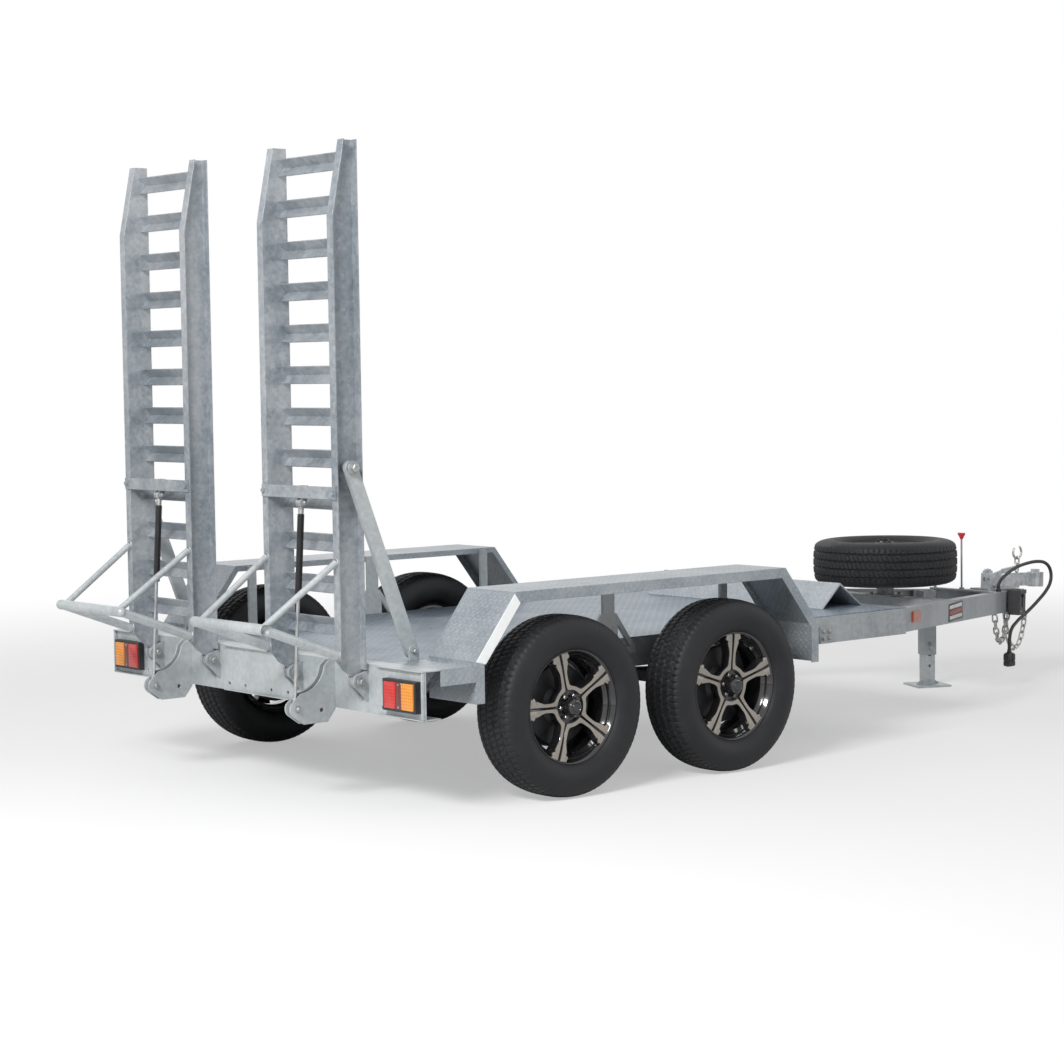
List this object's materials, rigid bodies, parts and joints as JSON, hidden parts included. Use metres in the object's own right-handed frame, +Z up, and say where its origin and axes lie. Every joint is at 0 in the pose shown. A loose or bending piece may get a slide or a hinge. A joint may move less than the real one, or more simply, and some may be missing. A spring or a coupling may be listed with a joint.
{
  "type": "tandem plant trailer",
  "caption": "Tandem-axle plant trailer with a chequer deck, open-sided guards, two upright folding ramps, drop leg and spare wheel.",
  "frame": {"origin": "under the middle of the whole trailer, on the ground, with the trailer lead left out", "axes": "+X forward to the coupling, +Y to the trailer's left, +Z up"},
  "size_m": [5.5937, 2.3, 2.591],
  "materials": {
    "galvanised": "hot-dip galvanised steel with a soft spangle",
    "chequer_zinc": "galvanised chequer plate",
    "tyre_rubber": "black tyre rubber",
    "black_alloy": "gloss black alloy with machined bronze-silver spoke faces",
    "black_steel": "black painted steel",
    "black_plastic": "matt black plastic",
    "red_lens": "moulded red lens",
    "amber_lens": "moulded amber lens",
    "side_reflector": "red-orange reflector",
    "cable_rubber": "black cable sheath",
    "black_gloss": "black gloss gas strut tube",
    "bright_rod": "bright ground rod",
    "bright_zinc": "bright zinc plate",
    "red_grip": "red grip on a bright rod"
  },
  "bodies": {
    "chassis": {"rail_near": "galvanised", "rail_far": "galvanised", "rear_crossmember": "galvanised", "deck_sheet": "chequer_zinc", "cross_bearers": "galvanised", "step_plates": "chequer_zinc", "mudguard_near": "chequer_zinc", "mudguard_far": "chequer_zinc", "guard_posts": "galvanised", "bucket_rest": "chequer_zinc", "hinge_lugs": "galvanised", "strut_plates": "galvanised", "stay_lugs": "galvanised", "lamp_housings": "black_plastic", "lamp_red": "red_lens", "lamp_amber": "amber_lens", "side_reflectors": "side_reflector", "axle_rear": "black_steel", "axle_front": "black_steel", "springs_near": "black_steel", "springs_far": "black_steel", "spare_carrier": "galvanised", "spare_tyre": "tyre_rubber", "spare_rim": "black_alloy", "leg_sleeve": "galvanised", "drawbar_head": "galvanised", "coupling": "bright_zinc", "brake_lever": "bright_zinc", "brake_handle": "red_grip", "battery_box": "black_plastic", "safety_chains": "bright_zinc", "chain_hook": "bright_zinc", "lead_cable": "cable_rubber", "lead_gland": "black_plastic", "lead_plug": "black_plastic"},
    "wheel_rear_near": {"tyre_rear_near": "tyre_rubber", "rim_rear_near": "black_alloy"},
    "wheel_rear_far": {"tyre_rear_far": "tyre_rubber", "rim_rear_far": "black_alloy"},
    "wheel_front_near": {"tyre_front_near": "tyre_rubber", "rim_front_near": "black_alloy"},
    "wheel_front_far": {"tyre_front_far": "tyre_rubber", "rim_front_far": "black_alloy"},
    "leg": {"leg_foot": "galvanised"},
    "near_ramp": {"ramp_near": "galvanised", "rungs_near": "galvanised", "prop_near": "galvanised"},
    "near_strut_tube": {"strut_tube_near": "black_gloss"},
    "near_strut_rod": {"strut_rod_near": "bright_rod"},
    "near_stay": {"stay_near": "galvanised"},
    "far_ramp": {"ramp_far": "galvanised", "rungs_far": "galvanised", "prop_far": "galvanised"},
    "far_strut_tube": {"strut_tube_far": "black_gloss"},
    "far_strut_rod": {"strut_rod_far": "bright_rod"},
    "far_stay": {"stay_far": "galvanised"}
  },
  "joints": [
    {"name": "near_ramp_hinge", "type": "hinge", "parent": "chassis", "child": "near_ramp", "pos_m": [-2.34089, -0.526, 0.508], "axis": [0, -1, 0], "range_deg": [0, 102]},
    {"name": "near_strut_pivot", "type": "hinge", "parent": "near_ramp", "child": "near_strut_tube", "pos_m": [-2.43289, -0.526, 1.198], "axis": [0, -1, 0], "range_deg": [-1, 6]},
    {"name": "near_strut_slide", "type": "slide", "parent": "near_strut_tube", "child": "near_strut_rod", "axis": [0.0632, 0, 0.998], "range_m": [-0.002, 0.283]},
    {"name": "near_stay_fold", "type": "hinge", "parent": "near_ramp", "child": "near_stay", "pos_m": [-2.39089, -0.526, 1.338], "axis": [0, -1, 0], "range_deg": [0, 159]},
    {"name": "far_ramp_hinge", "type": "hinge", "parent": "chassis", "child": "far_ramp", "pos_m": [-2.34089, 0.526, 0.508], "axis": [0, -1, 0], "range_deg": [0, 102]},
    {"name": "far_strut_pivot", "type": "hinge", "parent": "far_ramp", "child": "far_strut_tube", "pos_m": [-2.43289, 0.526, 1.198], "axis": [0, -1, 0], "range_deg": [-1, 6]},
    {"name": "far_strut_slide", "type": "slide", "parent": "far_strut_tube", "child": "far_strut_rod", "axis": [0.0632, 0, 0.998], "range_m": [-0.002, 0.283]},
    {"name": "far_stay_fold", "type": "hinge", "parent": "far_ramp", "child": "far_stay", "pos_m": [-2.39089, 0.526, 1.338], "axis": [0, -1, 0], "range_deg": [0, 159]},
    {"name": "wheel_rear_near_spin", "type": "hinge", "parent": "chassis", "child": "wheel_rear_near", "pos_m": [-1.55589, -1.0375, 0.365], "axis": [0, 1, 0], "continuous": true},
    {"name": "wheel_rear_far_spin", "type": "hinge", "parent": "chassis", "child": "wheel_rear_far", "pos_m": [-1.55589, 1.0375, 0.365], "axis": [0, 1, 0], "continuous": true},
    {"name": "wheel_front_near_spin", "type": "hinge", "parent": "chassis", "child": "wheel_front_near", "pos_m": [-0.65589, -1.0375, 0.365], "axis": [0, 1, 0], "continuous": true},
    {"name": "wheel_front_far_spin", "type": "hinge", "parent": "chassis", "child": "wheel_front_far", "pos_m": [-0.65589, 1.0375, 0.365], "axis": [0, 1, 0], "continuous": true},
    {"name": "leg_slide", "type": "slide", "parent": "chassis", "child": "leg", "axis": [0, 0, 1], "range_m": [0, 0.12]}
  ],
  "couplings": [
    {"joint": "near_strut_pivot", "follows": "near_ramp_hinge", "ratio": 0.0455},
    {"joint": "near_strut_slide", "follows": "near_ramp_hinge", "m_per_rad": 0.15745},
    {"joint": "far_strut_pivot", "follows": "far_ramp_hinge", "ratio": 0.0455},
    {"joint": "far_strut_slide", "follows": "far_ramp_hinge", "m_per_rad": 0.15745}
  ]
}
